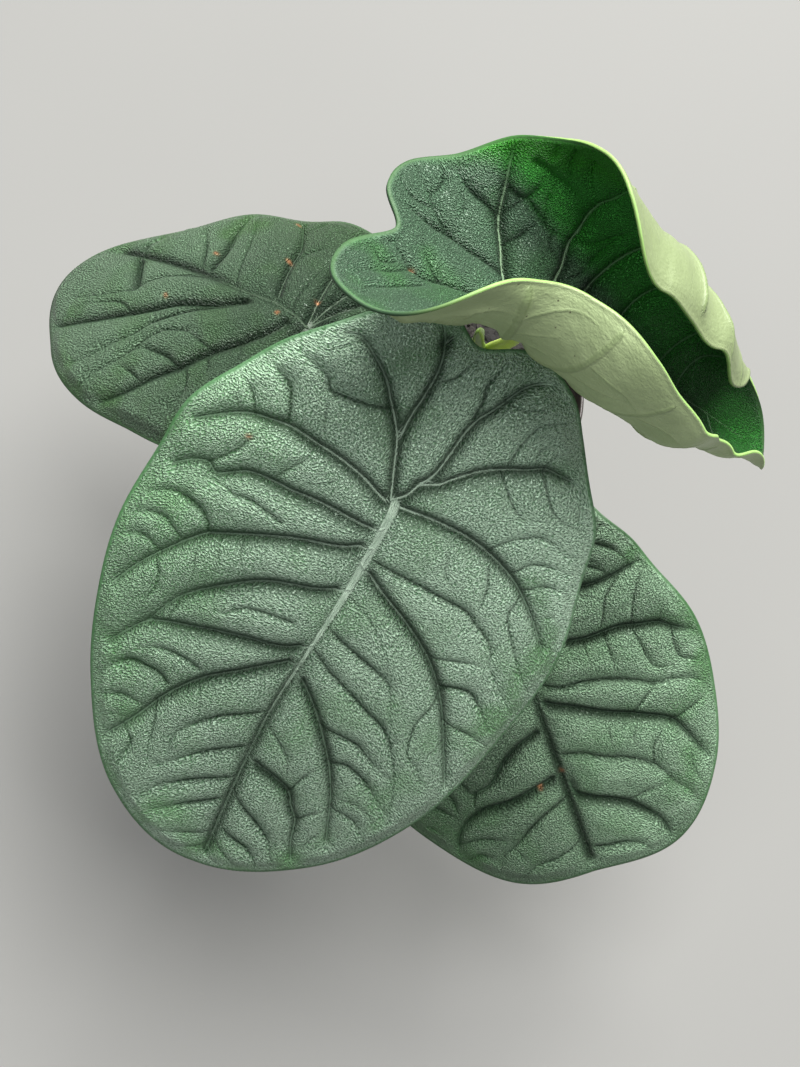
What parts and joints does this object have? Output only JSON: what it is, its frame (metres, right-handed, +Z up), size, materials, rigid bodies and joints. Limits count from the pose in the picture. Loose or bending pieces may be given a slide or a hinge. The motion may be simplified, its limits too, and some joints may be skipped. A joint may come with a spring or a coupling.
{
  "type": "potted alocasia melo",
  "caption": "Potted aroid house plant: shield-shaped, deeply quilted dark green leaves on slender stalks, in a plain round nursery pot.",
  "frame": {"origin": "centre of the pot's flat base, which stands on Z = 0", "axes": "+Z up along the pot's axis; the largest leaf leans out toward -Y and the rolled young leaf points toward +X"},
  "size_m": [0.2927, 0.288, 0.3745],
  "materials": {
    "pot_plastic": "satin",
    "potting_mix": "matte",
    "rhizome_skin": "matte",
    "petiole_skin": "satin",
    "mature_leaf": "satin",
    "young_leaf": "satin"
  },
  "bodies": {
    "root": {"pot": "pot_plastic", "potting_mix": "potting_mix", "rhizome": "rhizome_skin", "petiole_front": "petiole_skin", "petiole_left": "petiole_skin", "petiole_right": "petiole_skin", "petiole_young": "petiole_skin", "blade_front": "mature_leaf", "blade_left": "mature_leaf", "blade_right": "mature_leaf", "blade_young": "young_leaf"}
  },
  "joints": []
}
